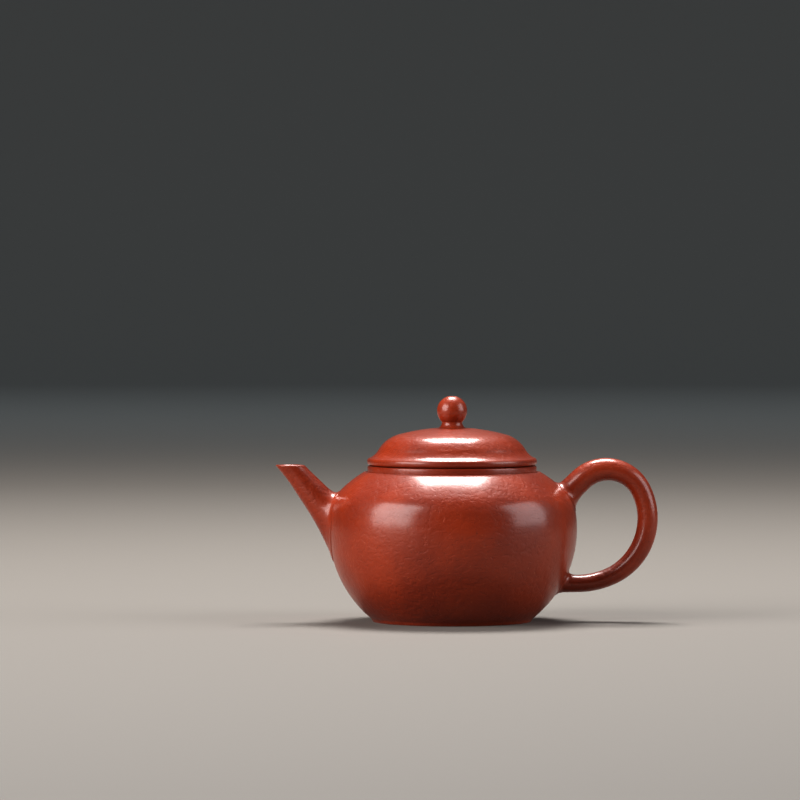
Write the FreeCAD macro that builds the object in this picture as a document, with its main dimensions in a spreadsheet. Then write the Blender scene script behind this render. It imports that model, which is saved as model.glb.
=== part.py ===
import FreeCAD, Part
import os

import Sketcher

# A round clay teapot with a straight spout, an ear-shaped handle and a loose lid with a ball knob.
# Millimetres, +Z up. The origin is the centre of the foot, on the surface that the pot stands on.
# The spout points along -X and the handle along +X.

SIZES = [
    ("belly_r", 37.5, "widest radius of the belly"),
    ("belly_z", 28.1, "height of the widest ring"),
    ("side_curve", 34.7, "radius of the arc that makes the lower belly and the sides"),
    ("round_curve", 9.9, "radius of the tight arc that turns the side into the shoulder"),
    ("top_curve", 38.0, "radius of the nearly flat arc of the shoulder"),
    ("foot_angle", 51.5, "degrees below the widest ring where the wall ends"),
    ("round_from", 9.3, "degrees above the widest ring where the tight arc starts"),
    ("round_to", 44.4, "degrees where the tight arc ends"),
    ("seam_angle", 53.0, "degrees where the shoulder disc is luted to the wall"),
    ("wall", 2.5, "thickness of the clay wall"),
    ("foot_r", 23.9, "outer radius of the ring that the pot stands on"),
    ("foot_w", 2.6, "width of the foot ring"),
    ("recess", 0.8, "height of the hollow under the base"),
    ("seat_z", 45.2, "height of the flat that carries the neck ring"),
    ("mouth_r", 21.0, "radius of the mouth"),
    ("neck_r", 25.5, "outer radius of the neck ring"),
    ("neck_top", 47.0, "height of the neck ring's top face"),
    ("edge_round", 0.5, "rounding of the neck ring and of the lid's lip"),
    ("lid_gap", 0.15, "height of the shadow line between neck ring and lid"),
    ("lip_r", 25.6, "outer radius of the lid's lip"),
    ("lip_top", 49.4, "height of the lip's top face"),
    ("collar_gap", 0.35, "play between the lid's collar and the mouth"),
    ("collar_w", 2.4, "thickness of the collar"),
    ("collar_low", 41.4, "height of the collar's lower end"),
    ("dome_r", 22.3, "radius of the dome above its cove"),
    ("dome_foot", 24.7, "radius where the cove meets the lip"),
    ("cove_z", 51.6, "height where the cove ends and the dome starts"),
    ("cove_curve", 6.0, "radius of the cove"),
    ("brow_r", 16.3, "radius where the dome's side turns into its top"),
    ("brow_z", 56.37, "height of that turn"),
    ("brow_curve", 10.0, "radius of the dome's side"),
    ("dome_top", 58.55, "height of the dome's top"),
    ("dome_curve", 62.0, "radius of the dome's top"),
    ("dome_wall", 2.3, "thickness of the dome"),
    ("ball_r", 4.55, "radius of the knob's ball"),
    ("stem_r", 3.1, "radius of the knob's stem"),
    ("stem_foot", 4.0, "radius of the stem where it spreads on the dome"),
    ("stem_z", 60.22, "height where the stem meets the ball"),
    ("stem_curve", 1.5, "radius of the stem's spread"),
    ("total_z", 68.1, "height of the knob's top"),
    ("vent_r", 0.8, "radius of the air hole through knob and lid"),
    ("spout_x", -49.0, "middle of the spout's mouth"),
    ("spout_z", 47.25, "height of the spout's level mouth"),
    ("spout_lean", 50.3, "degrees between the spout's axis and the level"),
    ("spout_wall", 1.3, "thickness of the spout at its mouth"),
    ("spout_root_wall", 2.2, "thickness of the spout at its root"),
    ("strainer_z", 31.5, "height of the middle hole of the strainer"),
    ("strainer_ring", 3.4, "radius of the ring of strainer holes"),
    ("strainer_r", 1.1, "radius of a strainer hole"),
    ("loop_x", 46.8, "centre of the handle's upper bend, across"),
    ("loop_z", 34.5, "centre of the handle's upper bend, up"),
    ("upper_bend", 11.4, "radius of the handle's upper bend"),
    ("upper_from", 134.0, "degrees where the upper bend leaves its straight root"),
    ("upper_to", 26.5, "degrees where the upper bend ends"),
    ("side_bend", 19.2, "radius of the handle's outer side"),
    ("side_to", -66.3, "degrees where the outer side ends"),
    ("lower_bend", 24.2, "radius of the handle's lower bend"),
    ("upper_root", 10.0, "length of the handle's straight upper root"),
    ("lower_root", 7.5, "length of the handle's straight lower root"),
]

# Stations along the spout's axis: distance inwards from the mouth, and the outer radius there.
SPOUT_STATIONS = [
    (-5, 3.5),
    (0, 3.38),
    (4, 3.48),
    (9, 4.02),
    (14, 4.6),
    (18, 5.2),
    (22, 6),
    (26, 7),
    (31, 8.3),
]

# Stations around the handle: which stretch, how far along it from 0 to 1, thickness in its own plane, width along Y.
HANDLE_STATIONS = [
    ("upper_root", 0.0, 8.4, 9.6),
    ("upper_root", 0.5, 7.5, 8.2),
    ("upper_root", 1.0, 7.2, 7.7),
    ("upper_bend", 0.35, 6.95, 7.4),
    ("upper_bend", 0.7, 6.5, 7.1),
    ("side_bend", 0.0, 6.2, 6.8),
    ("side_bend", 0.35, 6.1, 6.6),
    ("side_bend", 0.7, 5.9, 6.4),
    ("lower_bend", 0.0, 5.4, 6.0),
    ("lower_bend", 0.6, 5.25, 5.9),
    ("lower_root", 0.0, 5.2, 5.9),
    ("lower_root", 0.45, 6.0, 6.9),
    ("lower_root", 1.0, 8.2, 9.0),
]

doc = FreeCAD.newDocument("teapot")
dims = doc.addObject("Spreadsheet::Sheet", "dims")
for row, (alias, size, note) in enumerate(SIZES, start=1):
    dims.set(f"A{row}", note)
    dims.set(f"B{row}", str(size))
    dims.setAlias(f"B{row}", alias)
doc.recompute()


def number(text):
    """The value of an expression over the spreadsheet."""
    return float(dims.evalExpression(text))


def polar(centre, radius, angle):
    """The point at an angle on a circle, as a pair of expressions."""
    return (
        f"({centre[0]}) + ({radius}) * cos({angle})",
        f"({centre[1]}) + ({radius}) * sin({angle})",
    )


def origin_plane(body, role):
    return next(f for f in body.Origin.OriginFeatures if f.Role == role)


def new_sketch(body, name, plane, offset=None):
    sketch = body.newObject("Sketcher::SketchObject", name)
    sketch.AttachmentSupport = [(origin_plane(body, plane), "")]
    sketch.MapMode = "FlatFace"
    if offset:
        sketch.AttachmentOffset = offset
    return sketch


def bind(sketch, constraint, text):
    """Adds a dimension to a sketch and ties it to an expression."""
    index = sketch.addConstraint(constraint)
    sketch.setExpression(f"Constraints[{index}]", text)


def pin_point(sketch, geometry, position, across, up):
    """Places a point of a sketch by two expressions."""
    if abs(number(across)) < 1e-9:
        sketch.addConstraint(Sketcher.Constraint("PointOnObject", geometry, position, -2))
    else:
        distance = Sketcher.Constraint("DistanceX", -1, 1, geometry, position, number(across))
        bind(sketch, distance, across)
    if abs(number(up)) < 1e-9:
        sketch.addConstraint(Sketcher.Constraint("PointOnObject", geometry, position, -1))
    else:
        distance = Sketcher.Constraint("DistanceY", -1, 1, geometry, position, number(up))
        bind(sketch, distance, up)


def arc_middle(start, end, radius, side):
    """The middle of the arc from start to end that bulges to the given side, 1 for left and -1 for right."""
    chord = end - start
    sagitta = radius - (radius**2 - (chord.Length / 2) ** 2) ** 0.5
    left = FreeCAD.Vector(-chord.y, chord.x, 0).normalize()
    return (start + end) * 0.5 + left * (side * sagitta)


def draw_outline(sketch, steps):
    """Draws a closed outline.

    A step is a corner, as a pair of expressions, and the edge from it to the next corner: None for a straight
    line, or the radius and the side of the arc's bulge.
    """
    corners = [FreeCAD.Vector(number(x), number(z), 0) for (x, z), edge in steps]
    edges = []
    for i, (corner, edge) in enumerate(steps):
        start, end = corners[i], corners[(i + 1) % len(corners)]
        if edge is None:
            index = sketch.addGeometry(Part.LineSegment(start, end))
        else:
            middle = arc_middle(start, end, number(edge[0]), edge[1])
            index = sketch.addGeometry(Part.Arc(start, middle, end))
        starts_first = (sketch.getPoint(index, 1) - start).Length < 1e-6
        edges.append((index, 1, 2) if starts_first else (index, 2, 1))
    for i, (index, first, last) in enumerate(edges):
        following = edges[(i + 1) % len(edges)]
        sketch.addConstraint(Sketcher.Constraint("Coincident", index, last, following[0], following[1]))
        pin_point(sketch, index, first, *steps[i][0])
        if steps[i][1] is not None:
            radius = steps[i][1][0]
            bind(sketch, Sketcher.Constraint("Radius", index, number(radius)), radius)


def turned_body(label, steps):
    """A body turned about the pot's axis from an outline in the XZ plane."""
    body = doc.addObject("PartDesign::Body", label)
    body.Label = label
    sketch = new_sketch(body, f"{label}_outline", "XZ_Plane")
    draw_outline(sketch, steps)
    turn = body.newObject("PartDesign::Revolution", f"{label}_turn")
    turn.Profile = sketch
    turn.ReferenceAxis = (sketch, ["V_Axis"])
    turn.Angle = 360
    doc.recompute()
    return body


# The belly's outline: three tangent arcs from the foot to the neck, and the same arcs one wall further in.

SIDE_CENTRE = ("dims.belly_r - dims.side_curve", "dims.belly_z")
ROUND_CENTRE = polar(SIDE_CENTRE, "dims.side_curve - dims.round_curve", "dims.round_from")
TOP_CENTRE = polar(ROUND_CENTRE, "dims.round_curve - dims.top_curve", "dims.round_to")


def belly_corners(inset):
    """The corners of the belly's outline, from the foot to the shoulder's seam, at an inset from the outside."""
    return [
        polar(SIDE_CENTRE, f"dims.side_curve - {inset}", "-dims.foot_angle"),
        polar(SIDE_CENTRE, f"dims.side_curve - {inset}", "dims.round_from"),
        polar(ROUND_CENTRE, f"dims.round_curve - {inset}", "dims.round_to"),
        polar(TOP_CENTRE, f"dims.top_curve - {inset}", "dims.seam_angle"),
    ]


def level_on_top(radius, height):
    """How far out the shoulder's arc of this radius is at a height."""
    rise = f"({height} - ({TOP_CENTRE[1]}))"
    return f"({TOP_CENTRE[0]}) + sqrt(({radius}) * ({radius}) - {rise} * {rise})"


OUTER = belly_corners("0")
INNER = belly_corners("dims.wall")
SEAT_EDGE = (level_on_top("dims.top_curve", "dims.seat_z"), "dims.seat_z")
CEILING_Z = "dims.seat_z - dims.wall"
CEILING_EDGE = (level_on_top("dims.top_curve - dims.wall", CEILING_Z), CEILING_Z)


def build_body_wall():
    wall = turned_body(
        "body_wall",
        [
            (OUTER[0], ("dims.side_curve", -1)),
            (OUTER[1], ("dims.round_curve", -1)),
            (OUTER[2], ("dims.top_curve", -1)),
            (OUTER[3], None),
            (INNER[3], ("dims.top_curve - dims.wall", 1)),
            (INNER[2], ("dims.round_curve - dims.wall", 1)),
            (INNER[1], ("dims.side_curve - dims.wall", 1)),
            (INNER[0], None),
        ],
    )
    # Seven holes strain the tea on its way into the spout.
    drill_start = FreeCAD.Placement(FreeCAD.Vector(0, 0, -number("dims.belly_r")), FreeCAD.Rotation())
    sketch = new_sketch(wall, "strainer_outline", "YZ_Plane", drill_start)
    holes = [("0", "dims.strainer_z")]
    for turn in range(6):
        holes.append(polar(("0", "dims.strainer_z"), "dims.strainer_ring", f"{30 + 60 * turn}"))
    for across, up in holes:
        centre = FreeCAD.Vector(number(across), number(up), 0)
        index = sketch.addGeometry(Part.Circle(centre, FreeCAD.Vector(0, 0, 1), number("dims.strainer_r")))
        pin_point(sketch, index, 3, across, up)
        bind(sketch, Sketcher.Constraint("Radius", index, number("dims.strainer_r")), "dims.strainer_r")
    before = wall.Shape.Volume
    pocket = wall.newObject("PartDesign::Pocket", "strainer")
    pocket.Profile = sketch
    pocket.Reversed = True
    pocket.setExpression("Length", "dims.wall * 4")
    doc.recompute()
    assert wall.Shape.Volume < before - 50, "the strainer holes must cut the wall"
    return wall


def build_base_disc():
    foot_in = "dims.foot_r - dims.foot_w"
    return turned_body(
        "base_disc",
        [
            (("0", "dims.recess"), None),
            ((f"{foot_in} - dims.recess / 2", "dims.recess"), None),
            ((foot_in, "0"), None),
            (("dims.foot_r", "0"), None),
            (OUTER[0], None),
            (INNER[0], None),
            (("0", INNER[0][1]), None),
        ],
    )


def build_shoulder_disc():
    return turned_body(
        "shoulder_disc",
        [
            (OUTER[3], ("dims.top_curve", -1)),
            (SEAT_EDGE, None),
            (("dims.mouth_r", "dims.seat_z"), None),
            (("dims.mouth_r", CEILING_Z), None),
            (CEILING_EDGE, ("dims.top_curve - dims.wall", 1)),
            (INNER[3], None),
        ],
    )


def build_neck_ring():
    return turned_body(
        "neck_ring",
        [
            (("dims.mouth_r", "dims.seat_z"), None),
            (("dims.neck_r", "dims.seat_z"), None),
            (("dims.neck_r", "dims.neck_top - dims.edge_round"), ("dims.edge_round", -1)),
            (("dims.neck_r - dims.edge_round", "dims.neck_top"), None),
            (("dims.mouth_r + dims.edge_round", "dims.neck_top"), ("dims.edge_round", -1)),
            (("dims.mouth_r", "dims.neck_top - dims.edge_round"), None),
        ],
    )


def build_belly_core():
    """The pot's outside as one solid, which shapes the roots of spout and handle."""
    return turned_body(
        "belly_core",
        [
            (("0", "0"), None),
            (("dims.foot_r", "0"), None),
            (OUTER[0], ("dims.side_curve", -1)),
            (OUTER[1], ("dims.round_curve", -1)),
            (OUTER[2], ("dims.top_curve", -1)),
            (SEAT_EDGE, None),
            (("0", "dims.seat_z"), None),
        ],
    )


# The spout: a tapered tube on a straight leaning axis, cut level at its mouth.


def spout_loft(name, stations, inset):
    """A tapered solid on the spout's axis, its radii reduced by an inset that grows towards the root."""
    circles = []
    for i, (along, radius) in enumerate(stations):
        circle = doc.addObject("Part::Circle", f"{name}_ring_{i}")
        circle.setExpression("Radius", f"{radius} - {inset(along)}")
        place = f"vector(dims.spout_x + {along} * cos(dims.spout_lean); 0; dims.spout_z - {along} * sin(dims.spout_lean))"
        circle.setExpression("Placement", f"placement({place}; rotation(vector(0; 1; 0); 90 + dims.spout_lean))")
        circles.append(circle)
    return lofted(name, circles)


def lofted(name, sections):
    loft = doc.addObject("Part::Loft", name)
    loft.Sections = sections
    loft.Solid = True
    loft.Ruled = False
    return loft


def cut(name, base, tool):
    piece = doc.addObject("Part::Cut", name)
    piece.Base = base
    piece.Tool = tool
    piece.Label = name
    return piece


def build_spout(core):
    length = SPOUT_STATIONS[-1][0]

    def bore_inset(along):
        share = max(along, 0) / length
        return f"(dims.spout_wall + (dims.spout_root_wall - dims.spout_wall) * {share})"

    outside = spout_loft("spout_outside", SPOUT_STATIONS, lambda along: "0")
    bore = spout_loft("spout_bore", SPOUT_STATIONS, bore_inset)
    above = doc.addObject("Part::Box", "above_spout_mouth")
    for side in ("Length", "Width", "Height"):
        above.setExpression(side, "dims.belly_r")
    above.setExpression(
        "Placement",
        "placement(vector(dims.spout_x - dims.belly_r / 2; -dims.belly_r / 2; dims.spout_z); rotation(0; 0; 0))",
    )
    tube = cut("spout_tube", outside, bore)
    level = cut("spout_level", tube, above)
    return cut("spout", level, core)


# The handle: oval sections along a straight root, three tangent bends and a second straight root.

UPPER_CENTRE = ("dims.loop_x", "dims.loop_z")
SIDE_BEND_CENTRE = polar(UPPER_CENTRE, "dims.upper_bend - dims.side_bend", "dims.upper_to")
LOWER_CENTRE = polar(SIDE_BEND_CENTRE, "dims.side_bend - dims.lower_bend", "dims.side_to")


def handle_station(stretch, share):
    """The middle of a handle section and the angle of its outward direction, as expressions."""
    if stretch == "upper_root":
        bend_start = polar(UPPER_CENTRE, "dims.upper_bend", "dims.upper_from")
        back = f"(dims.upper_root * {1 - share})"
        x = f"{bend_start[0]} - {back} * sin(dims.upper_from)"
        z = f"{bend_start[1]} + {back} * cos(dims.upper_from)"
        return (x, z), "dims.upper_from"
    if stretch == "upper_bend":
        angle = f"(dims.upper_from + (dims.upper_to - dims.upper_from) * {share})"
        return polar(UPPER_CENTRE, "dims.upper_bend", angle), angle
    if stretch == "side_bend":
        angle = f"(dims.upper_to + (dims.side_to - dims.upper_to) * {share})"
        return polar(SIDE_BEND_CENTRE, "dims.side_bend", angle), angle
    if stretch == "lower_bend":
        angle = f"(dims.side_to + (-90 - dims.side_to) * {share})"
        return polar(LOWER_CENTRE, "dims.lower_bend", angle), angle
    x = f"{LOWER_CENTRE[0]} - dims.lower_root * {share}"
    return (x, f"{LOWER_CENTRE[1]} - dims.lower_bend"), "-90"


def build_handle(core):
    sections = []
    for i, (stretch, share, thickness, width) in enumerate(HANDLE_STATIONS):
        (x, z), angle = handle_station(stretch, share)
        oval = doc.addObject("Part::Ellipse", f"handle_section_{i}")
        oval.MajorRadius = width / 2
        oval.MinorRadius = thickness / 2
        oval.setExpression("Placement", f"placement(vector({x}; 0; {z}); rotation(90; 0; 180 - {angle}))")
        sections.append(oval)
    return cut("handle", lofted("handle_coil", sections), core)


# The lid: a flat plate that makes the lip, a dome on it, a collar under it and a knob on top.

LIP_LOW = "(dims.neck_top + dims.lid_gap)"
COLLAR_OUT = "(dims.mouth_r - dims.collar_gap)"
COLLAR_IN = "(dims.mouth_r - dims.collar_gap - dims.collar_w)"


def build_lid_plate():
    return turned_body(
        "lid_plate",
        [
            ((COLLAR_IN, LIP_LOW), None),
            (("dims.lip_r - dims.edge_round", LIP_LOW), ("dims.edge_round", -1)),
            (("dims.lip_r", f"{LIP_LOW} + dims.edge_round"), None),
            (("dims.lip_r", "dims.lip_top - dims.edge_round"), ("dims.edge_round", -1)),
            (("dims.lip_r - dims.edge_round", "dims.lip_top"), None),
            ((COLLAR_IN, "dims.lip_top"), None),
        ],
    )


def build_lid_collar():
    return turned_body(
        "lid_collar",
        [
            ((COLLAR_IN, LIP_LOW), None),
            ((COLLAR_IN, "dims.collar_low"), None),
            ((f"{COLLAR_OUT} - dims.edge_round", "dims.collar_low"), ("dims.edge_round", -1)),
            ((COLLAR_OUT, "dims.collar_low + dims.edge_round"), None),
            ((COLLAR_OUT, LIP_LOW), None),
        ],
    )


def dome_height(radius, away, inset):
    """Height of the dome's top arc, or of its underside at an inset, at a distance from the axis."""
    return f"dims.dome_top - dims.dome_curve + sqrt(({radius} - {inset})^2 - ({away})^2)"


def build_lid_dome():
    vent_top = dome_height("dims.dome_curve", "dims.vent_r", "0")
    vent_low = dome_height("dims.dome_curve", "dims.vent_r", "dims.dome_wall")
    brow_in = "dims.brow_r - dims.dome_wall"
    side_in = "dims.dome_r - dims.dome_wall"
    return turned_body(
        "lid_dome",
        [
            (("dims.dome_foot", "dims.lip_top"), ("dims.cove_curve", 1)),
            (("dims.dome_r", "dims.cove_z"), ("dims.brow_curve", -1)),
            (("dims.brow_r", "dims.brow_z"), ("dims.dome_curve", -1)),
            (("dims.vent_r", vent_top), None),
            (("dims.vent_r", vent_low), ("dims.dome_curve - dims.dome_wall", 1)),
            ((brow_in, dome_height("dims.dome_curve", brow_in, "dims.dome_wall")), ("dims.brow_curve", 1)),
            ((side_in, "dims.cove_z - dims.dome_wall / 2"), None),
            ((side_in, "dims.lip_top"), None),
        ],
    )


def build_knob():
    ball_z = "dims.total_z - dims.ball_r"
    foot_z = dome_height("dims.dome_curve", "dims.stem_foot", "0")
    return turned_body(
        "knob",
        [
            (("dims.vent_r", dome_height("dims.dome_curve", "dims.vent_r", "0")), ("dims.dome_curve", 1)),
            (("dims.stem_foot", foot_z), ("dims.stem_curve", 1)),
            (("dims.stem_r", "dims.stem_z"), ("dims.ball_r", -1)),
            (("dims.ball_r", ball_z), ("dims.ball_r", -1)),
            (("dims.vent_r", f"{ball_z} + sqrt(dims.ball_r^2 - dims.vent_r^2)"), None),
        ],
    )


core = build_belly_core()
pieces = [
    build_body_wall(),
    build_base_disc(),
    build_shoulder_disc(),
    build_neck_ring(),
    build_spout(core),
    build_handle(core),
    build_lid_plate(),
    build_lid_collar(),
    build_lid_dome(),
    build_knob(),
]
doc.recompute()

for item in doc.Objects:
    bad = [state for state in item.State if state in ("Invalid", "Error")]
    assert not bad, f"{item.Name} is {bad}"
for piece in pieces:
    assert not piece.Shape.isNull(), f"{piece.Label} is empty"
    assert piece.Shape.isValid(), f"{piece.Label} is not a valid shape"
    assert len(piece.Shape.Solids) == 1, f"{piece.Label} has {len(piece.Shape.Solids)} solids"

os.makedirs("parts", exist_ok=True)
for piece in pieces:
    piece.Shape.exportStep(f"parts/{piece.Label}.step")
    box = piece.Shape.BoundBox
    print(
        f"{piece.Label:14s} {piece.Shape.Volume:9.1f} mm3  x {box.XMin:7.2f} {box.XMax:7.2f}"
        f"  y {box.YMin:7.2f} {box.YMax:7.2f}  z {box.ZMin:7.2f} {box.ZMax:7.2f}"
    )
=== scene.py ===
import math

import bmesh
import bpy
import numpy as np
from mathutils import Matrix, Vector


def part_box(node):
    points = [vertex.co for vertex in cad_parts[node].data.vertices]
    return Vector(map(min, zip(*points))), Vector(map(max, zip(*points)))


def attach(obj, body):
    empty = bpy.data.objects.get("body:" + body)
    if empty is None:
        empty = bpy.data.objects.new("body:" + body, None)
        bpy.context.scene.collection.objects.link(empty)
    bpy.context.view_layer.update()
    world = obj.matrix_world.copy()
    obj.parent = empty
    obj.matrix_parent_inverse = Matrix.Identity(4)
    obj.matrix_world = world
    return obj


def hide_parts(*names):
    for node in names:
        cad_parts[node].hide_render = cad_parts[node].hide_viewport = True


# The looks of a small burnished red clay teapot: a turned pot and lid, and a straight spout and an ear handle
# whose roots are thumbed out onto the belly. Metres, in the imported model's own frame.

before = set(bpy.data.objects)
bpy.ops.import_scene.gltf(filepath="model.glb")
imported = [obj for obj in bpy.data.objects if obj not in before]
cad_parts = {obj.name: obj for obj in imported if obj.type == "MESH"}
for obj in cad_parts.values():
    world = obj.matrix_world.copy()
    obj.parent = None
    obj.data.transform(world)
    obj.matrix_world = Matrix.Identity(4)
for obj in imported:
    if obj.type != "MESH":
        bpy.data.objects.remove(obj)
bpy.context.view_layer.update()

MM = 0.001

# Sizes of the pot, from the frame's boxes and from the clay's own thicknesses and curves.

wall_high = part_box("body_wall")[1]
foot_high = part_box("base_disc")[1]
neck_low, neck_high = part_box("neck_ring")
lip_low, lip_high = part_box("lid_plate")
dome_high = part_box("lid_dome")[1]
collar_low, collar_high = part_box("lid_collar")
knob_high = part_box("knob")[1]
spout_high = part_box("spout")[1]

BELLY_R = wall_high.x
BELLY_Z = 28.1 * MM
WALL = 2.5 * MM
SIDE_CURVE = 34.7 * MM
ROUND_CURVE = 9.9 * MM
TOP_CURVE = 38.0 * MM
FOOT_ANGLE = math.radians(-51.5)
ROUND_FROM = math.radians(9.3)
ROUND_TO = math.radians(44.4)
FOOT_R = 23.9 * MM
FOOT_W = 2.6 * MM
RECESS = 0.8 * MM
SEAT_Z = neck_low.z
MOUTH_R = 21.0 * MM
NECK_R = neck_high.x
GROOVE_W = 0.45 * MM
GROOVE_D = 0.4 * MM
LIP_R = lip_high.x
COLLAR_R = collar_high.x
COLLAR_W = 2.4 * MM
DOME_R = 22.3 * MM
DOME_FOOT = dome_high.x
COVE_Z = 51.6 * MM
COVE_CURVE = 6.0 * MM
BROW_R = 16.3 * MM
BROW_Z = 56.37 * MM
BROW_CURVE = 10.0 * MM
DOME_CURVE = 62.0 * MM
DOME_TOP = 58.55 * MM
DOME_WALL = 2.3 * MM
BALL_R = knob_high.x
STEM_R = 3.1 * MM
STEM_FOOT = 4.0 * MM
VENT_R = 0.8 * MM
STRAINER_Z = 31.5 * MM
STRAINER_RING = 3.4 * MM
STRAINER_R = 1.1 * MM

# The pot's hand-made unevenness: how far it leans towards the handle, and the depth of its waves.
LEAN = 0.25 * MM
WAVE = 0.06 * MM

ROUND_SEGMENTS = 288
SHARP_ANGLE = 32
OUTSIDE, INSIDE = 0, 1


# ---------------------------------------------------------------- outlines


def arc(centre, radius, start, end, count=24):
    """Points along an arc, from one angle to another."""
    angles = np.linspace(start, end, count)
    return np.stack([centre[0] + radius * np.cos(angles), centre[1] + radius * np.sin(angles)], 1)


def bulge(start, end, radius, side, count=16):
    """Points along the arc between two points that bulges to one side, 1 for left and -1 for right."""
    start, end = np.array(start, float), np.array(end, float)
    chord = end - start
    half = np.hypot(*chord) / 2
    left = np.array([-chord[1], chord[0]]) / (2 * half)
    middle = (start + end) / 2
    centre = middle - left * side * math.sqrt(radius**2 - half**2)
    first = math.atan2(*(start - centre)[::-1])
    last = math.atan2(*(end - centre)[::-1])
    turn = (last - first + math.pi) % (2 * math.pi) - math.pi
    return arc(centre, radius, first, first + turn, count)


def rounded(corners, count=7):
    """A straight-sided outline with its corners rounded. A corner is (r, z, rounding)."""
    points = [np.array(corner[:2], float) for corner in corners]
    outline = []
    for i, (_, _, rounding) in enumerate(corners):
        here = points[i]
        if rounding <= 0 or i in (0, len(corners) - 1):
            outline.append(here)
            continue
        back = points[i - 1] - here
        ahead = points[i + 1] - here
        back /= np.hypot(*back)
        ahead /= np.hypot(*ahead)
        half = math.acos(np.clip(back @ ahead, -1, 1)) / 2
        reach = rounding / math.tan(half)
        bisector = (back + ahead) / np.hypot(*(back + ahead))
        centre = here + bisector * rounding / math.sin(half)
        first, last = here + back * reach, here + ahead * reach
        start = math.atan2(*(first - centre)[::-1])
        end = math.atan2(*(last - centre)[::-1])
        turn = (end - start + math.pi) % (2 * math.pi) - math.pi
        outline.extend(arc(centre, rounding, start, start + turn, count))
    return np.array(outline)


def joined(*stretches):
    """Stretches of (points, face kind) as one outline with no doubled points, and its kinds."""
    points, kinds = [], []
    for stretch, kind in stretches:
        for point in np.atleast_2d(np.array(stretch, float)):
            if points and np.hypot(*(point - points[-1])) < 1e-7:
                continue
            points.append(point)
            kinds.append(kind)
    return np.array(points), kinds


# ---------------------------------------------------------------- the belly as a surface

SIDE_CENTRE = np.array([BELLY_R - SIDE_CURVE, BELLY_Z])


def turn_of(angle):
    """The unit vector at an angle, in the plane of an outline."""
    return np.array([math.cos(angle), math.sin(angle)])


ROUND_CENTRE = SIDE_CENTRE + (SIDE_CURVE - ROUND_CURVE) * turn_of(ROUND_FROM)
TOP_CENTRE = ROUND_CENTRE + (ROUND_CURVE - TOP_CURVE) * turn_of(ROUND_TO)


def top_angle(inset, height):
    """The angle on the shoulder's arc, at an inset from the outside, where it reaches a height."""
    return math.asin((height - TOP_CENTRE[1]) / (TOP_CURVE - inset))


def belly_outline(inset, top):
    """The belly's outline from foot to shoulder at an inset from the outside."""
    return np.concatenate([
        arc(SIDE_CENTRE, SIDE_CURVE - inset, FOOT_ANGLE, ROUND_FROM, 80),
        arc(ROUND_CENTRE, ROUND_CURVE - inset, ROUND_FROM, ROUND_TO, 26)[1:],
        arc(TOP_CENTRE, TOP_CURVE - inset, ROUND_TO, top_angle(inset, top), 18)[1:],
    ])


def hand_wobble(turn, height):
    """How far the belly swells or sinks, by angle round the axis and height. None at foot and neck.

    It leans a little towards the handle, as a hand-beaten wall does.
    """
    share = np.clip((height - foot_high.z) / (SEAT_Z - foot_high.z), 0, 1)
    envelope = np.sin(np.pi * share) ** 0.7
    wave = 0.5 * np.sin(2 * turn + 0.6 + 40 * height) + 0.3 * np.sin(3 * turn + 2.1 - 95 * height)
    wave += 0.2 * np.sin(5 * turn + 4.0 + 160 * height)
    return envelope * (LEAN * np.cos(turn) + WAVE * (wave - 1))


def belly_radius(point):
    """The belly's radius at the height and round the axis of a point."""
    z = point[2]
    join_low = SIDE_CENTRE[1] + SIDE_CURVE * math.sin(ROUND_FROM)
    join_high = ROUND_CENTRE[1] + ROUND_CURVE * math.sin(ROUND_TO)
    if z < join_low:
        centre, radius = SIDE_CENTRE, SIDE_CURVE
    elif z < join_high:
        centre, radius = ROUND_CENTRE, ROUND_CURVE
    else:
        centre, radius = TOP_CENTRE, TOP_CURVE
    across = math.sqrt(max(radius**2 - (z - centre[1]) ** 2, 0))
    return centre[0] + across + hand_wobble(math.atan2(point[1], point[0]), z)


def belly_gap(point):
    """How far a point is outside the belly, measured level."""
    return math.hypot(point[0], point[1]) - belly_radius(point)


def belly_normal(point):
    """The belly's outward direction at a point of its surface."""
    step = 0.05 * MM
    rise = belly_radius(point + np.array([0, 0, step])) - belly_radius(point - np.array([0, 0, step]))
    out = np.array([point[0], point[1], 0.0]) / math.hypot(point[0], point[1])
    normal = out - np.array([0, 0, rise / (2 * step)])
    return normal / np.linalg.norm(normal)


def on_belly(point, sink=0.0):
    """The point moved level onto the belly, or a little under its surface."""
    radius = belly_radius(point) - sink
    scale = radius / math.hypot(point[0], point[1])
    return np.array([point[0] * scale, point[1] * scale, point[2]])


# ---------------------------------------------------------------- meshes


def finish_mesh(name, vertices, faces, kinds, materials, crease):
    """A piece from vertices and faces, smooth except along edges sharper than the crease angle."""
    mesh = bpy.data.meshes.new(name)
    mesh.from_pydata([tuple(v) for v in vertices], [], faces)
    for material in materials:
        mesh.materials.append(material)
    mesh.polygons.foreach_set("material_index", kinds)
    mesh.update()
    mesh.validate()
    mesh.shade_smooth()
    mesh.set_sharp_from_angle(angle=math.radians(crease))
    piece = bpy.data.objects.new(name, mesh)
    bpy.context.scene.collection.objects.link(piece)
    return piece


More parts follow.
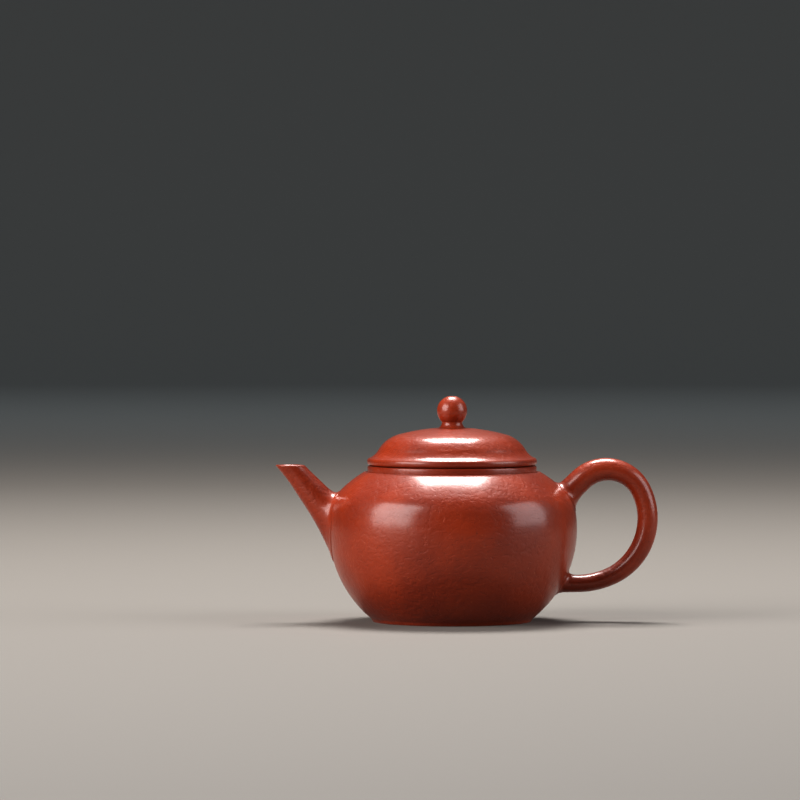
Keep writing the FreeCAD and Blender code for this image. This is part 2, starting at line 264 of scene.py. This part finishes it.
def turned(name, outline, kinds, materials, wobble=None, segments=ROUND_SEGMENTS, crease=SHARP_ANGLE):
    """A mesh turned about the pot's axis. An outline that starts and ends on the axis is closed by poles."""
    poles = outline[0][0] < 1e-9 and outline[-1][0] < 1e-9
    body = outline[1:-1] if poles else outline
    body_kinds = kinds[1:-1] if poles else kinds
    turns = np.linspace(0, 2 * math.pi, segments, endpoint=False)
    vertices = []
    for radius, height in body:
        grown = radius + (wobble(turns, height) if wobble else 0)
        ring = np.stack([grown * np.cos(turns), grown * np.sin(turns), np.full(segments, height)], 1)
        vertices.append(ring)
    vertices = np.concatenate(vertices)
    faces, face_kinds = [], []
    rings = len(body)
    for i in range(rings - 1 if poles else rings):
        here, following = i * segments, (i + 1) % rings * segments
        for k in range(segments):
            after = (k + 1) % segments
            faces.append((here + k, here + after, following + after, following + k))
            face_kinds.append(body_kinds[i])
    if poles:
        ends = len(vertices)
        vertices = np.concatenate([vertices, [[0, 0, outline[0][1]], [0, 0, outline[-1][1]]]])
        last = (rings - 1) * segments
        for k in range(segments):
            after = (k + 1) % segments
            faces.append((ends, after, k))
            faces.append((ends + 1, last + k, last + after))
            face_kinds.extend([body_kinds[0], body_kinds[-1]])
    return finish_mesh(name, vertices, faces, face_kinds, materials, crease)


def skinned(name, loops, kinds, materials, crease=40):
    """A mesh over loops of equal length, the last joined to the first. kinds has one entry for each loop."""
    count = len(loops[0])
    vertices = np.concatenate(loops)
    faces, face_kinds = [], []
    for i in range(len(loops)):
        here, following = i * count, (i + 1) % len(loops) * count
        for k in range(count):
            after = (k + 1) % count
            faces.append((here + k, following + k, following + after, here + after))
            face_kinds.append(kinds[i])
    return finish_mesh(name, vertices, faces, face_kinds, materials, crease)


def smooth_curve(stations, at):
    """A smooth curve through (place, value) stations: a natural cubic spline."""
    places = np.array([s[0] for s in stations], float)
    values = np.array([s[1] for s in stations], float)
    gaps = np.diff(places)
    n = len(places)
    matrix, right = np.eye(n), np.zeros(n)
    for i in range(1, n - 1):
        matrix[i, i - 1 : i + 2] = gaps[i - 1], 2 * (gaps[i - 1] + gaps[i]), gaps[i]
        right[i] = 6 * ((values[i + 1] - values[i]) / gaps[i] - (values[i] - values[i - 1]) / gaps[i - 1])
    bend = np.linalg.solve(matrix, right)
    i = int(np.clip(np.searchsorted(places, at) - 1, 0, n - 2))
    a, b, gap = places[i + 1] - at, at - places[i], gaps[i]
    cubic = (bend[i] * a**3 + bend[i + 1] * b**3) / (6 * gap)
    linear = (values[i] / gap - bend[i] * gap / 6) * a + (values[i + 1] / gap - bend[i + 1] * gap / 6) * b
    return cubic + linear


def crossing(gap_at, outside, inside):
    """Where along a line it enters the belly, between a place outside and a place inside."""
    for _ in range(48):
        middle = (outside + inside) / 2
        if gap_at(middle) > 0:
            outside = middle
        else:
            inside = middle
    return (outside + inside) / 2


def root_loops(surface, enters, sideways, pull_back, spread, lift, edge=0.14 * MM, count=16):
    """Loops that lead a limb's skin in a thumbed fillet onto the belly and just under its surface.

    surface(place, k) is a point of the limb; enters[k] is the place where line k goes into the belly;
    sideways[k] points away from the limb's middle; pull_back and spread are the fillet's reach along the limb
    and over the belly for each k. The fillet ends in a fine edge that stands proud of the belly.
    """
    lines = len(enters)
    loops = [np.zeros((lines, 3)) for _ in range(count + 3)]
    for k in range(lines):
        touch = surface(enters[k], k)
        normal = belly_normal(touch)
        along = sideways[k] - normal * (sideways[k] @ normal)
        along /= np.linalg.norm(along)
        start = surface(enters[k] + pull_back[k], k)
        foot = on_belly(touch + along * spread[k])
        end = foot + normal * edge
        knee = touch + normal * lift
        for i in range(count):
            t = i / (count - 1)
            loops[i][k] = (1 - t) ** 2 * start + 2 * t * (1 - t) * knee + t**2 * end
        # The edge turns over and ends under the belly's surface.
        loops[count][k] = foot + along * 0.1 * MM + normal * edge * 0.6
        loops[count + 1][k] = on_belly(foot + along * 0.14 * MM, 0.05 * MM)
        loops[count + 2][k] = on_belly(foot + along * 0.05 * MM, 0.5 * MM)
    return loops


# ---------------------------------------------------------------- clay


def node(tree, kind, **settings):
    """A new shader node with its settings."""
    made = tree.nodes.new(kind)
    for key, value in settings.items():
        setattr(made, key, value)
    return made


def noise(tree, coordinates, scale, detail=4.0, roughness=0.55, stretch=None, distortion=0.0):
    """A noise texture's height, at features per metre, with its coordinates stretched if asked."""
    if stretch:
        mapping = node(tree, "ShaderNodeMapping")
        mapping.inputs["Scale"].default_value = stretch
        tree.links.new(coordinates, mapping.inputs["Vector"])
        coordinates = mapping.outputs["Vector"]
    texture = node(tree, "ShaderNodeTexNoise")
    texture.inputs["Scale"].default_value = scale
    texture.inputs["Detail"].default_value = detail
    texture.inputs["Roughness"].default_value = roughness
    texture.inputs["Distortion"].default_value = distortion
    tree.links.new(coordinates, texture.inputs["Vector"])
    return texture.outputs["Fac"]


def ramp(tree, source, stops):
    """A colour ramp. A stop is (place, colour), or (place, (grey,))."""
    made = node(tree, "ShaderNodeValToRGB")
    elements = made.color_ramp.elements
    while len(elements) < len(stops):
        elements.new(0.5)
    for element, (place, colour) in zip(elements, stops):
        element.position = place
        element.color = (*colour, 1) if len(colour) == 3 else (colour[0],) * 3 + (1,)
    tree.links.new(source, made.inputs["Fac"])
    return made.outputs["Color"]


def tinted(tree, body, colour, share):
    """The body colour with a plain colour mixed in by a share that varies over the surface."""
    mix = node(tree, "ShaderNodeMix", data_type="RGBA")
    tree.links.new(share, mix.inputs[0])
    tree.links.new(body, mix.inputs[6])
    mix.inputs[7].default_value = (*colour, 1)
    return mix.outputs[2]


def ranged(tree, source, low, high, start=0.3, end=0.7):
    """A texture's height, from start to end, as a number from low to high."""
    made = node(tree, "ShaderNodeMapRange")
    made.inputs["From Min"].default_value = start
    made.inputs["From Max"].default_value = end
    made.inputs["To Min"].default_value = low
    made.inputs["To Max"].default_value = high
    tree.links.new(source, made.inputs["Value"])
    return made.outputs[0]


def bumped(tree, height, distance, strength, before=None):
    """A normal that follows a height, on top of another normal if one is given."""
    bump = node(tree, "ShaderNodeBump")
    bump.inputs["Distance"].default_value = distance
    bump.inputs["Strength"].default_value = strength
    tree.links.new(height, bump.inputs["Height"])
    if before is not None:
        tree.links.new(before, bump.inputs["Normal"])
    return bump.outputs["Normal"]


SAND = (0.5, 0.15, 0.05)
IRON = (0.09, 0.012, 0.004)

# Features per metre of each pattern in the clay.
CLOUDS = 55
PATCHES = 90
WRINKLES = 520
SPECKS = 1500


def clay(name, dark, light, roughness, coat, ripple, grit):
    """Fine red clay: two close reds in clouds, pale and dark specks, fine wrinkles and a burnished sheen.

    roughness is (lowest, highest), coat is the weight of the sheen, and ripple and grit are the strengths of
    the wrinkles and of the grain.
    """
    material = bpy.data.materials.new(name)
    material.use_nodes = True
    tree = material.node_tree
    shader = tree.nodes["Principled BSDF"]
    coordinates = node(tree, "ShaderNodeTexCoord").outputs["Object"]

    clouds = noise(tree, coordinates, CLOUDS, 3.0, 0.5)
    body = ramp(tree, clouds, [(0.3, dark), (0.7, light)])
    specks = noise(tree, coordinates, SPECKS, 2.0, 0.6)
    pale = ranged(tree, specks, 0.0, 0.35, 0.66, 0.74)
    deep = ranged(tree, specks, 0.45, 0.0, 0.27, 0.35)
    body = tinted(tree, body, SAND, pale)
    body = tinted(tree, body, IRON, deep)
    tree.links.new(body, shader.inputs["Base Color"])

    # Handling polishes the clay unevenly, in broad patches.
    handled = noise(tree, coordinates, PATCHES, 4.0, 0.6)
    tree.links.new(ranged(tree, handled, *roughness), shader.inputs["Roughness"])
    shader.inputs["Specular IOR Level"].default_value = 0.3
    shader.inputs["Coat Weight"].default_value = coat
    shader.inputs["Coat Roughness"].default_value = 0.22
    shader.inputs["Coat IOR"].default_value = 1.5

    wrinkles = noise(tree, coordinates, WRINKLES, 3.0, 0.55, stretch=(1, 1, 1.25), distortion=0.5)
    folds = ramp(tree, wrinkles, [(0.36, (0.0,)), (0.5, (0.75,)), (0.64, (1.0,))])
    normal = bumped(tree, folds, 0.1 * MM, ripple)
    grains = noise(tree, coordinates, SPECKS, 3.0, 0.6)
    normal = bumped(tree, grains, 0.05 * MM, grit, normal)
    tree.links.new(normal, shader.inputs["Normal"])
    return material


burnished = clay("burnished_clay", (0.2, 0.020, 0.002), (0.3, 0.035, 0.003), (0.45, 0.6), 0.8, 0.9, 0.7)
raw = clay("raw_clay", (0.25, 0.035, 0.010), (0.34, 0.05, 0.015), (0.65, 0.8), 0.0, 0.7, 1.0)
CLAYS = [burnished, raw]


# ---------------------------------------------------------------- the pot


def drill_strainer(pot):
    """Cut the strainer through the pot's skin behind the spout: one hole in the middle and six round it."""
    holes = [(0, STRAINER_Z)]
    for turn in range(6):
        across, up = turn_of(math.radians(30 + 60 * turn)) * STRAINER_RING
        holes.append((across, STRAINER_Z + up))
    along_x = Matrix.Rotation(math.pi / 2, 4, "Y")
    drills = bmesh.new()
    for across, up in holes:
        place = Matrix.Translation((-BELLY_R + WALL, across, up)) @ along_x
        bmesh.ops.create_cone(
            drills,
            cap_ends=True,
            segments=32,
            radius1=STRAINER_R,
            radius2=STRAINER_R,
            depth=WALL * 3,
            matrix=place,
        )
    for face in drills.faces:
        face.material_index = INSIDE
    mesh = bpy.data.meshes.new("drills")
    drills.to_mesh(mesh)
    drills.free()
    for material in CLAYS:
        mesh.materials.append(material)
    cutter = bpy.data.objects.new("drills", mesh)
    bpy.context.scene.collection.objects.link(cutter)
    cut = pot.modifiers.new("strainer", "BOOLEAN")
    cut.operation = "DIFFERENCE"
    cut.solver = "EXACT"
    cut.object = cutter
    drilled = bpy.data.meshes.new_from_object(pot.evaluated_get(bpy.context.evaluated_depsgraph_get()))
    pot.modifiers.clear()
    bpy.data.objects.remove(cutter)
    bpy.data.meshes.remove(mesh)
    drilled.set_sharp_from_angle(angle=math.radians(SHARP_ANGLE))
    pot.data = drilled


def make_pot_body():
    """Foot, belly, shoulder, mouth and inside as one clay skin: a potter smooths those joins away."""
    foot_in = FOOT_R - FOOT_W
    outer = belly_outline(0, SEAT_Z - 0.1 * MM)
    inner = belly_outline(WALL, SEAT_Z - WALL)[::-1]
    foot = rounded([
        (0, RECESS, 0),
        (foot_in - RECESS / 2, RECESS, 0.4 * MM),
        (foot_in, 0, 0.35 * MM),
        (FOOT_R, 0, 0.3 * MM),
        (outer[0][0], outer[0][1], 0),
    ])
    seat = rounded([
        (outer[-1][0], outer[-1][1], 0),
        (NECK_R + GROOVE_W, SEAT_Z, 0.2 * MM),
        (NECK_R + 0.1 * MM, SEAT_Z - GROOVE_D, 0.08 * MM),
        (NECK_R - 0.4 * MM, SEAT_Z - GROOVE_D, 0.08 * MM),
        (NECK_R - 0.5 * MM, SEAT_Z, 0.08 * MM),
        (MOUTH_R, SEAT_Z, 0.4 * MM),
        (MOUTH_R, SEAT_Z - WALL, 0.8 * MM),
        (inner[0][0], inner[0][1], 0),
    ])
    floor_r, floor_z = inner[-1]
    hollow = [(floor_r, floor_z), (floor_r * 0.8, floor_z), (0, floor_z)]
    outline, kinds = joined(
        (foot, OUTSIDE),
        (outer, OUTSIDE),
        (seat, OUTSIDE),
        (inner, INSIDE),
        (hollow, INSIDE),
    )
    pot = turned("pot_body", outline, kinds, CLAYS, wobble=hand_wobble)
    drill_strainer(pot)
    return pot


def make_neck_ring():
    """The ring that carries the lid, set a little into the groove of the shoulder."""
    outline = rounded([
        (NECK_R - 0.3 * MM, SEAT_Z - GROOVE_D * 0.9, 0),
        (NECK_R, SEAT_Z - GROOVE_D * 0.9, 0.1 * MM),
        (NECK_R, neck_high.z, 0.5 * MM),
        (MOUTH_R, neck_high.z, 0.4 * MM),
        (MOUTH_R, SEAT_Z, 0),
        (NECK_R - 0.3 * MM, SEAT_Z, 0),
    ])
    return turned("neck_band", outline, [OUTSIDE] * len(outline), CLAYS)


# ---------------------------------------------------------------- the spout

SPOUT_LEAN = math.radians(50.3)
SPOUT_MOUTH = np.array([-49.0 * MM, 0, spout_high.z])
SPOUT_WAY = np.array([math.cos(SPOUT_LEAN), 0, -math.sin(SPOUT_LEAN)])
SPOUT_UP = np.array([math.sin(SPOUT_LEAN), 0, math.cos(SPOUT_LEAN)])

# Stations: how far along the spout's axis from its mouth, in millimetres, and its outer radius there.
SPOUT_RADII = [
    (-5, 3.5), (0, 3.38), (4, 3.48), (9, 4.02), (14, 4.6), (18, 5.2), (22, 6.0), (26, 7.0), (31, 8.3),
]
SPOUT_LENGTH = 31.0
SPOUT_WALL, SPOUT_ROOT_WALL = 1.3, 2.2
SPOUT_LINES = 120


def spout_point(along, k, inset=0.0):
    """A point of the spout's skin, along its axis in metres, on line k."""
    place = along / MM
    radius = smooth_curve(SPOUT_RADII, place) * MM - inset
    turn = 2 * math.pi * k / SPOUT_LINES
    return SPOUT_MOUTH + SPOUT_WAY * along + radius * (
        math.cos(turn) * SPOUT_UP + math.sin(turn) * np.array([0, 1, 0])
    )


def spout_bore(along, k):
    """A point of the bore's skin. The wall thickens from mouth to root."""
    share = min(max(along / MM / SPOUT_LENGTH, 0), 1)
    return spout_point(along, k, (SPOUT_WALL + (SPOUT_ROOT_WALL - SPOUT_WALL) * share) * MM)


def level_place(skin, k, height):
    """How far along the axis a line of the spout's skin reaches a height."""
    low, high = -8 * MM, 12 * MM
    for _ in range(40):
        middle = (low + high) / 2
        if skin(middle, k)[2] > height:
            low = middle
        else:
            high = middle
    return (low + high) / 2


def curved(start, knee, end, count):
    """Points on a quadratic curve, both ends included."""
    return [(1 - t) ** 2 * start + 2 * t * (1 - t) * knee + t**2 * end for t in np.linspace(0, 1, count)]


def make_spout():
    """The spout's skin in one closed band: rim, outside, root and back up the bore."""
    rim = spout_high.z
    lines = range(SPOUT_LINES)
    lip_out = [level_place(spout_point, k, rim) for k in lines]
    lip_in = [level_place(spout_bore, k, rim) for k in lines]
    enters = [
        crossing(lambda s, k=k: belly_gap(spout_point(s, k)), 6 * MM, SPOUT_LENGTH * MM)
        for k in lines
    ]
    bore_enters = [
        crossing(lambda s, k=k: belly_gap(spout_bore(s, k)), 6 * MM, SPOUT_LENGTH * MM)
        for k in lines
    ]
    turns = np.array([2 * math.pi * k / SPOUT_LINES for k in lines])
    sideways = [math.cos(t) * SPOUT_UP + math.sin(t) * np.array([0, 1, 0]) for t in turns]
    upper = 0.5 + 0.5 * np.cos(turns)
    uneven = 1 + 0.1 * np.sin(2 * turns + 0.8) + 0.07 * np.sin(3 * turns + 2)
    beside = np.sin(turns) ** 2
    pull_back = -(2.2 + 1.4 * upper + 2.6 * beside) * MM
    spread = (0.9 + 0.3 * upper + 1.2 * beside) * MM * uneven
    edge = 0.7 * MM
    loops, kinds = [], []

    # Rolled rim, from the flat of the mouth over the outer edge.
    rim_curve = []
    for k in lines:
        outer_edge = spout_point(lip_out[k], k)
        inner_edge = spout_bore(lip_in[k], k)
        inwards = (inner_edge - outer_edge) / np.linalg.norm(inner_edge - outer_edge)
        flat = outer_edge + inwards * edge
        rim_curve.append(curved(flat, outer_edge, spout_point(lip_out[k] + edge, k), 6))
    for i in range(6):
        loops.append(np.array([rim_curve[k][i] for k in lines]))
        kinds.append(OUTSIDE)

    # Down the outside.
    steps = 44
    for i in range(1, steps):
        t = i / steps
        loop = []
        for k in lines:
            first, last = lip_out[k] + edge, enters[k] + pull_back[k]
            loop.append(spout_point(first + (last - first) * t, k))
        loops.append(np.array(loop))
        kinds.append(OUTSIDE)
    root = root_loops(spout_point, enters, sideways, pull_back, spread, 0.35 * MM)
    loops.extend(root)
    kinds.extend([OUTSIDE] * len(root))

    # Back up the bore to the flat of the mouth.
    for i in range(24):
        t = 1 - i / 23
        loop = []
        for k in lines:
            first, last = lip_in[k] + edge, bore_enters[k] + 0.8 * MM
            loop.append(spout_bore(first + (last - first) * t, k))
        loops.append(np.array(loop))
        kinds.append(INSIDE)
    rim_curve = []
    for k in lines:
        outer_edge = spout_point(lip_out[k], k)
        inner_edge = spout_bore(lip_in[k], k)
        outwards = (outer_edge - inner_edge) / np.linalg.norm(inner_edge - outer_edge)
        flat = inner_edge + outwards * edge * 0.6
        rim_curve.append(curved(spout_bore(lip_in[k] + edge, k), inner_edge, flat, 5))
    for i in range(1, 5):
        loops.append(np.array([rim_curve[k][i] for k in lines]))
        kinds.append(OUTSIDE)
    return skinned("spout_tube", loops, kinds, CLAYS)


# ---------------------------------------------------------------- the handle

LOOP = np.array([46.8, 34.5]) * MM
UPPER_BEND, SIDE_BEND, LOWER_BEND = 11.4 * MM, 19.2 * MM, 24.2 * MM
UPPER_FROM, UPPER_TO, SIDE_TO = math.radians(134), math.radians(26.5), math.radians(-66.3)
UPPER_ROOT, LOWER_ROOT = 10.0 * MM, 7.5 * MM
SIDE_LOOP = LOOP + (UPPER_BEND - SIDE_BEND) * turn_of(UPPER_TO)
LOWER_LOOP = SIDE_LOOP + (SIDE_BEND - LOWER_BEND) * turn_of(SIDE_TO)
HANDLE_STRETCHES = [
    UPPER_ROOT,
    UPPER_BEND * (UPPER_FROM - UPPER_TO),
    SIDE_BEND * (UPPER_TO - SIDE_TO),
    LOWER_BEND * (SIDE_TO + math.pi / 2),
    LOWER_ROOT,
]
HANDLE_LENGTH = sum(HANDLE_STRETCHES)
HANDLE_LINES = 96

# Stations, in millimetres: how far along the handle, its thickness in the plane of its bend, and its width.
HANDLE_STATIONS = [
    (0, 7.5, 8.2),
    (10, 7.2, 7.7),
    (17, 6.95, 7.4),
    (24.3, 6.5, 7.1),
    (30.5, 6.2, 6.8),
    (41.3, 6.1, 6.6),
    (52.2, 5.9, 6.4),
    (61.5, 5.4, 6.0),
    (67.6, 5.25, 5.9),
    (71.6, 5.2, 5.9),
    (79, 5.5, 6.2),
]
HANDLE_THICK = [(place, thick) for place, thick, _ in HANDLE_STATIONS]
HANDLE_WIDE = [(place, wide) for place, _, wide in HANDLE_STATIONS]


def handle_middle(along):
    """The middle of the handle at a length along it, and its outward direction, in the XZ plane."""
    first, second, third, fourth, _ = HANDLE_STRETCHES
    if along < first:
        out = turn_of(UPPER_FROM)
        forward = np.array([out[1], -out[0]])
        return LOOP + UPPER_BEND * out - forward * (first - along), out
    if along < first + second:
        out = turn_of(UPPER_FROM - (along - first) / UPPER_BEND)
        return LOOP + UPPER_BEND * out, out
    if along < first + second + third:
        out = turn_of(UPPER_TO - (along - first - second) / SIDE_BEND)
        return SIDE_LOOP + SIDE_BEND * out, out
    if along < first + second + third + fourth:
        out = turn_of(SIDE_TO - (along - first - second - third) / LOWER_BEND)
        return LOWER_LOOP + LOWER_BEND * out, out
    out = np.array([0.0, -1.0])
    past = along - (HANDLE_LENGTH - LOWER_ROOT)
    return LOWER_LOOP + LOWER_BEND * out + np.array([-past, 0.0]), out


def handle_direction(along, k):
    """The direction away from the handle's middle on line k."""
    turn = 2 * math.pi * k / HANDLE_LINES
    _, out = handle_middle(along)
    return math.cos(turn) * np.array([out[0], 0, out[1]]) + math.sin(turn) * np.array([0, 1, 0])


def handle_point(along, k):
    """A point of the handle's skin at a length along it, on line k."""
    turn = 2 * math.pi * k / HANDLE_LINES
    middle, out = handle_middle(along)
    thick = smooth_curve(HANDLE_THICK, along / MM) * MM / 2
    wide = smooth_curve(HANDLE_WIDE, along / MM) * MM / 2
    offset = thick * math.cos(turn) * out
    return np.array([middle[0] + offset[0], wide * math.sin(turn), middle[1] + offset[1]])


def make_handle():
    """The handle's skin from its upper root round the ear to its lower root."""
    lines = range(HANDLE_LINES)
    turns = np.array([2 * math.pi * k / HANDLE_LINES for k in lines])
    upper = [crossing(lambda s, k=k: belly_gap(handle_point(s, k)), 16 * MM, 0.0) for k in lines]
    near_end = HANDLE_LENGTH - 12 * MM
    lower = [
        crossing(lambda s, k=k: belly_gap(handle_point(s, k)), near_end, HANDLE_LENGTH)
        for k in lines
    ]
    uneven = 1 + 0.14 * np.sin(2 * turns + 1.1) + 0.08 * np.sin(3 * turns)
    inner_side = 0.5 - 0.5 * np.cos(turns)
    upper_back = (1.8 + 2.4 * inner_side) * MM
    upper_spread = (1.0 + 1.0 * inner_side) * MM * uneven
    lower_back = (1.8 + 1.6 * inner_side) * MM
    lower_spread = (0.8 + 0.5 * inner_side) * MM * uneven
    upper_away = [handle_direction(s, k) for k, s in enumerate(upper)]
    lower_away = [handle_direction(s, k) for k, s in enumerate(lower)]
    lift = 0.3 * MM
    upper_loops = root_loops(handle_point, upper, upper_away, upper_back, upper_spread, lift)
    lower_loops = root_loops(handle_point, lower, lower_away, -lower_back, lower_spread, lift)
    loops = upper_loops[::-1]
    steps = 130
    for i in range(1, steps):
        t = i / steps
        loop = []
        for k in lines:
            first, last = upper[k] + upper_back[k], lower[k] - lower_back[k]
            loop.append(handle_point(first + (last - first) * t, k))
        loops.append(np.array(loop))
    loops.extend(lower_loops)
    return capped("handle_ear", loops)


def capped(name, loops):
    """A closed skin over loops, with a fan at each end."""
    count = len(loops[0])
    vertices = list(np.concatenate(loops))
    faces = []
    for i in range(len(loops) - 1):
        for k in range(count):
            after = (k + 1) % count
            faces.append((i * count + k, i * count + after, (i + 1) * count + after, (i + 1) * count + k))
    first, last = len(vertices), len(vertices) + 1
    vertices.append(loops[0].mean(0))
    vertices.append(loops[-1].mean(0))
    start = (len(loops) - 1) * count
    for k in range(count):
        after = (k + 1) % count
        faces.append((first, after, k))
        faces.append((last, start + k, start + after))
    return finish_mesh(name, vertices, faces, [OUTSIDE] * len(faces), CLAYS, 40)


# ---------------------------------------------------------------- the lid

DOME_CENTRE_Z = DOME_TOP - DOME_CURVE


def dome_height(radius, inset=0.0):
    """The height of the dome's crown at a radius, at an inset from its outside."""
    return DOME_CENTRE_Z + math.sqrt((DOME_CURVE - inset) ** 2 - radius**2)


def dome_arc(start, end, inset=0.0, count=40):
    """Points along the dome's crown, from one radius to another."""
    radii = np.linspace(start, end, count)
    return np.array([(r, dome_height(r, inset)) for r in radii])


def make_lid():
    """Dome, lip and collar as one clay skin."""
    collar_in = COLLAR_R - COLLAR_W
    side_in = DOME_R - DOME_WALL
    brow_in = BROW_R - DOME_WALL
    brow_foot = (side_in, COVE_Z - DOME_WALL / 2)
    top = dome_arc(VENT_R, BROW_R)
    brow = bulge((BROW_R, BROW_Z), (DOME_R, COVE_Z), BROW_CURVE, 1, 24)
    cove = bulge((DOME_R, COVE_Z), (DOME_FOOT, lip_high.z), COVE_CURVE, -1, 18)
    lip = rounded([
        (DOME_FOOT, lip_high.z, 0),
        (LIP_R, lip_high.z, 1.0 * MM),
        (LIP_R, lip_low.z, 0.95 * MM),
        (COLLAR_R, lip_low.z, 0.3 * MM),
        (COLLAR_R, collar_low.z, 0.6 * MM),
        (collar_in, collar_low.z, 0.6 * MM),
        (collar_in, lip_low.z, 0),
    ], 9)
    hollow_side = rounded([
        (collar_in, lip_low.z, 0),
        (collar_in, lip_high.z, 0.5 * MM),
        (side_in, lip_high.z + 0.2 * MM, 0.5 * MM),
        (*brow_foot, 0),
    ])
    brow_top = (brow_in, dome_height(brow_in, DOME_WALL))
    hollow_brow = bulge(brow_foot, brow_top, BROW_CURVE, -1, 20)
    hollow_top = dome_arc(brow_in, VENT_R, DOME_WALL)
    outline, kinds = joined(
        (top, OUTSIDE),
        (brow, OUTSIDE),
        (cove, OUTSIDE),
        (lip, OUTSIDE),
        (hollow_side, INSIDE),
        (hollow_brow, INSIDE),
        (hollow_top, INSIDE),
    )
    return turned("lid_cover", outline[::-1], kinds[::-1], CLAYS)


def make_knob():
    """Ball and flared stem, with the air hole down the middle."""
    ball_z = knob_high.z - BALL_R + 0.07 * MM
    stem_z = ball_z - math.sqrt(BALL_R**2 - STEM_R**2)
    foot_r = STEM_FOOT + 0.5 * MM
    foot_z = dome_height(foot_r) - 0.1 * MM
    foot = bulge((foot_r, foot_z), (STEM_R, stem_z), 1.75 * MM, 1, 14)
    start = math.atan2(stem_z - ball_z, STEM_R)
    ball = arc((0, ball_z), BALL_R, start, math.acos((VENT_R + 0.3 * MM) / BALL_R), 64)
    vent = rounded([
        (ball[-1][0], ball[-1][1], 0),
        (VENT_R, ball[-1][1] - 0.15 * MM, 0.2 * MM),
        (VENT_R, dome_height(VENT_R) - 0.1 * MM, 0),
    ])
    outline, kinds = joined((foot, OUTSIDE), (ball, OUTSIDE), (vent, INSIDE))
    return turned("knob_ball", outline, kinds, CLAYS, segments=128, crease=50)


# ---------------------------------------------------------------- assembly

pieces = [
    (make_pot_body(), "pot", ["body_wall", "base_disc", "shoulder_disc"]),
    (make_neck_ring(), "pot", ["neck_ring"]),
    (make_spout(), "pot", ["spout"]),
    (make_handle(), "pot", ["handle"]),
    (make_lid(), "lid", ["lid_plate", "lid_dome", "lid_collar"]),
    (make_knob(), "lid", ["knob"]),
]
for piece, body, nodes in pieces:
    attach(piece, body)
    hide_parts(*nodes)


# ---------------------------------------------------------------- floor, light and camera


def plain_material(name, colour, roughness):
    """A material of one colour, for the floor only."""
    material = bpy.data.materials.new(name)
    material.use_nodes = True
    shader = material.node_tree.nodes["Principled BSDF"]
    shader.inputs["Base Color"].default_value = (*colour, 1)
    shader.inputs["Roughness"].default_value = roughness
    return material


def make_floor():
    """A round floor that curves up into a wall all round, in one pale tone."""
    flat, curve, top = 3.0, 1.2, 2.4
    profile = [(0, 0), *arc((flat, curve), curve, -math.pi / 2, 0, 24), (flat + curve, top)]
    mesh = bmesh.new()
    previous = None
    segments = 96
    for radius, height in profile:
        ring = [
            mesh.verts.new((radius * math.cos(a), radius * math.sin(a), height))
            for a in np.linspace(0, 2 * math.pi, segments, endpoint=False)
        ] if radius > 0 else [mesh.verts.new((0, 0, height))]
        if previous is not None:
            for k in range(segments):
                after = (k + 1) % segments
                if len(previous) == 1:
                    mesh.faces.new((previous[0], ring[k], ring[after]))
                else:
                    mesh.faces.new((previous[k], ring[k], ring[after], previous[after]))
        previous = ring
    data = bpy.data.meshes.new("floor")
    mesh.to_mesh(data)
    mesh.free()
    data.shade_smooth()
    data.materials.append(plain_material("pale_floor", (0.2, 0.181, 0.162), 0.8))
    floor = bpy.data.objects.new("floor", data)
    bpy.context.scene.collection.objects.link(floor)


def softbox(name, direction, distance, size, power, colour=(1, 1, 1), target=(0, 0, 35 * MM)):
    """An area light in a direction from its target, given as azimuth and elevation in degrees, facing it."""
    azimuth, elevation = (math.radians(a) for a in direction)
    target = Vector(target)
    away = Vector((
        math.sin(azimuth) * math.cos(elevation),
        -math.cos(azimuth) * math.cos(elevation),
        math.sin(elevation),
    ))
    light = bpy.data.lights.new(name, "AREA")
    light.shape = "RECTANGLE"
    light.size, light.size_y = size
    light.energy = power
    light.color = colour
    lamp = bpy.data.objects.new(name, light)
    lamp.location = target + away * distance
    lamp.rotation_mode = "QUATERNION"
    lamp.rotation_quaternion = away.to_track_quat("Z", "Y")
    lamp.visible_camera = False
    bpy.context.scene.collection.objects.link(lamp)


make_floor()

# Lights: direction in degrees, distance and size in metres, power in watts.
softbox("overhead", (180, 68), 1.15, (0.55, 0.46), 25)
softbox("left_window", (-60, 24), 1.3, (1.0, 1.0), 28)
softbox("right_window", (77, 23), 1.3, (0.9, 0.95), 14, (0.93, 0.96, 1.0))
softbox("backdrop_wash", (0, 35), 1.9, (3.0, 0.8), 20, (0.68, 0.86, 1.0), target=(0, 3.4, 0.15))

world = bpy.data.worlds.new("room")
world.use_nodes = True
world.node_tree.nodes["Background"].inputs["Color"].default_value = (0.9, 0.94, 1.0, 1)
world.node_tree.nodes["Background"].inputs["Strength"].default_value = 0.15
bpy.context.scene.world = world

# The camera looks along +Y from a little above the lid. The pot stands low in the picture, to the right.
CAMERA_DISTANCE = 1.7
CAMERA_HEIGHT = 112 * MM
PICTURE_MIDDLE = Vector((-15.7 * MM, 0, 66.8 * MM))
PICTURE_WIDTH = 241.3 * MM

camera_data = bpy.data.cameras.new("camera")
camera = bpy.data.objects.new("camera", camera_data)
camera.location = (PICTURE_MIDDLE.x, -CAMERA_DISTANCE, CAMERA_HEIGHT)
sight = PICTURE_MIDDLE - camera.location
camera.rotation_mode = "QUATERNION"
camera.rotation_quaternion = sight.to_track_quat("-Z", "Y")
camera_data.lens = camera_data.sensor_width * sight.length / PICTURE_WIDTH
camera_data.clip_start, camera_data.clip_end = 0.05, 50
bpy.context.scene.collection.objects.link(camera)
bpy.context.scene.camera = camera

# The plain view transform, with a little more contrast than the light alone gives.
bpy.context.scene.view_settings.view_transform = "Standard"
bpy.context.scene.view_settings.gamma = 0.75
